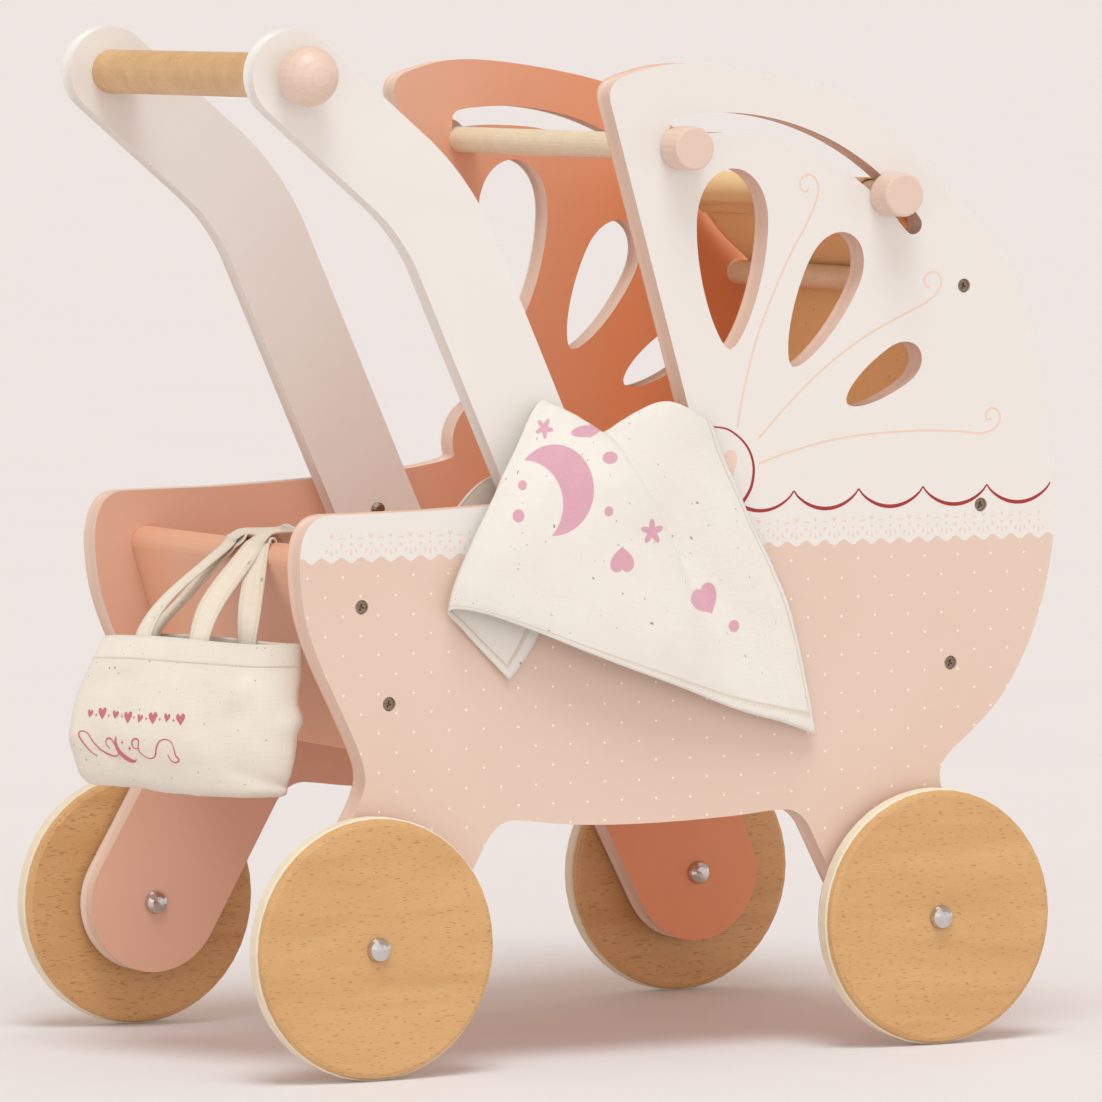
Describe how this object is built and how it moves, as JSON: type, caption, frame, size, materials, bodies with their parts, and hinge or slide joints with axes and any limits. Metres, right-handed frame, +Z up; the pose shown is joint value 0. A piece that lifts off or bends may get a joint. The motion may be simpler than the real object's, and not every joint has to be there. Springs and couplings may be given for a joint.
{
  "type": "doll's pram",
  "caption": "Painted wooden doll's pram with a cut-out bow hood on a curved track, raised push handle, four rolling wooden wheels, cloth canopy, hanging tote bag and draped blanket.",
  "frame": {"origin": "bottom centre of the bounding box, on the floor under the wheels", "axes": "+X towards the hood end, +Y towards the left side, +Z up"},
  "size_m": [0.51, 0.323, 0.5525],
  "materials": {
    "peach_paint": "satin peach paint on board",
    "white_paint": "satin white paint on board",
    "beech": "clear-lacquered beech",
    "pale_wood": "pale clear-lacquered dowel",
    "calico": "unbleached woven cotton",
    "tyre": "matt cream rubber band",
    "bright_steel": "polished",
    "screw_metal": "bronzed steel",
    "spacer_plastic": "matt"
  },
  "bodies": {
    "frame": {"side_panel_right": "peach_paint", "side_panel_left": "peach_paint", "rear_panel": "peach_paint", "front_panel": "peach_paint", "floor_panel": "peach_paint", "hood_fixed_dowel": "pale_wood", "canopy": "calico", "handle_arm_right": "white_paint", "handle_arm_left": "white_paint", "handle_bar": "beech", "handle_ball_right": "peach_paint", "handle_ball_left": "peach_paint", "axle_rear_right": "bright_steel", "hub_cap_rear_right": "bright_steel", "spacer_rear_right": "spacer_plastic", "axle_rear_left": "bright_steel", "hub_cap_rear_left": "bright_steel", "spacer_rear_left": "spacer_plastic", "axle_front_right": "bright_steel", "hub_cap_front_right": "bright_steel", "spacer_front_right": "spacer_plastic", "axle_front_left": "bright_steel", "hub_cap_front_left": "bright_steel", "spacer_front_left": "spacer_plastic", "screw_rear_upper_right": "screw_metal", "screw_rear_lower_right": "screw_metal", "screw_front_lower_right": "screw_metal", "screw_front_upper_right": "screw_metal", "screw_hood_right": "screw_metal", "arm_screw_upper_right": "screw_metal", "arm_screw_lower_right": "screw_metal", "screw_rear_upper_left": "screw_metal", "screw_rear_lower_left": "screw_metal", "screw_front_lower_left": "screw_metal", "screw_front_upper_left": "screw_metal", "screw_hood_left": "screw_metal", "arm_screw_upper_left": "screw_metal", "arm_screw_lower_left": "screw_metal", "blanket": "calico"},
    "hood_bow_front": {"hood_bar_front": "pale_wood", "hood_knob_front_right": "peach_paint", "hood_knob_front_left": "peach_paint", "canopy_sleeve": "calico"},
    "hood_bow_rear": {"hood_bar_rear": "pale_wood", "hood_knob_rear_right": "peach_paint", "hood_knob_rear_left": "peach_paint"},
    "bag": {"tote_bag": "calico", "bag_strap_outer": "calico", "bag_strap_inner": "calico"},
    "wheel_rear_right": {"wheel_rear_right": "beech", "tyre_rear_right": "tyre"},
    "wheel_rear_left": {"wheel_rear_left": "beech", "tyre_rear_left": "tyre"},
    "wheel_front_right": {"wheel_front_right": "beech", "tyre_front_right": "tyre"},
    "wheel_front_left": {"wheel_front_left": "beech", "tyre_front_left": "tyre"}
  },
  "joints": [
    {"name": "wheel_rear_right_spin", "type": "hinge", "parent": "frame", "child": "wheel_rear_right", "pos_m": [-0.1687, -0.1485, 0.07], "axis": [0, 1, 0], "continuous": true},
    {"name": "wheel_rear_left_spin", "type": "hinge", "parent": "frame", "child": "wheel_rear_left", "pos_m": [-0.1687, 0.1485, 0.07], "axis": [0, 1, 0], "continuous": true},
    {"name": "wheel_front_right_spin", "type": "hinge", "parent": "frame", "child": "wheel_front_right", "pos_m": [0.1733, -0.1485, 0.07], "axis": [0, 1, 0], "continuous": true},
    {"name": "wheel_front_left_spin", "type": "hinge", "parent": "frame", "child": "wheel_front_left", "pos_m": [0.1733, 0.1485, 0.07], "axis": [0, 1, 0], "continuous": true},
    {"name": "hood_bow_front_swing", "type": "hinge", "parent": "frame", "child": "hood_bow_front", "pos_m": [0.0473, 0, 0.348], "axis": [0, 1, 0], "range_deg": [-40, 8], "deforming": ["canopy"]},
    {"name": "hood_bow_rear_lift", "type": "slide", "parent": "frame", "child": "hood_bow_rear", "axis": [0, 0, 1], "range_m": [0, 0.011]},
    {"name": "bag_swing", "type": "hinge", "parent": "frame", "child": "bag", "pos_m": [-0.1732, 0, 0.2705], "axis": [0, 1, 0], "range_deg": [0, 45]}
  ]
}
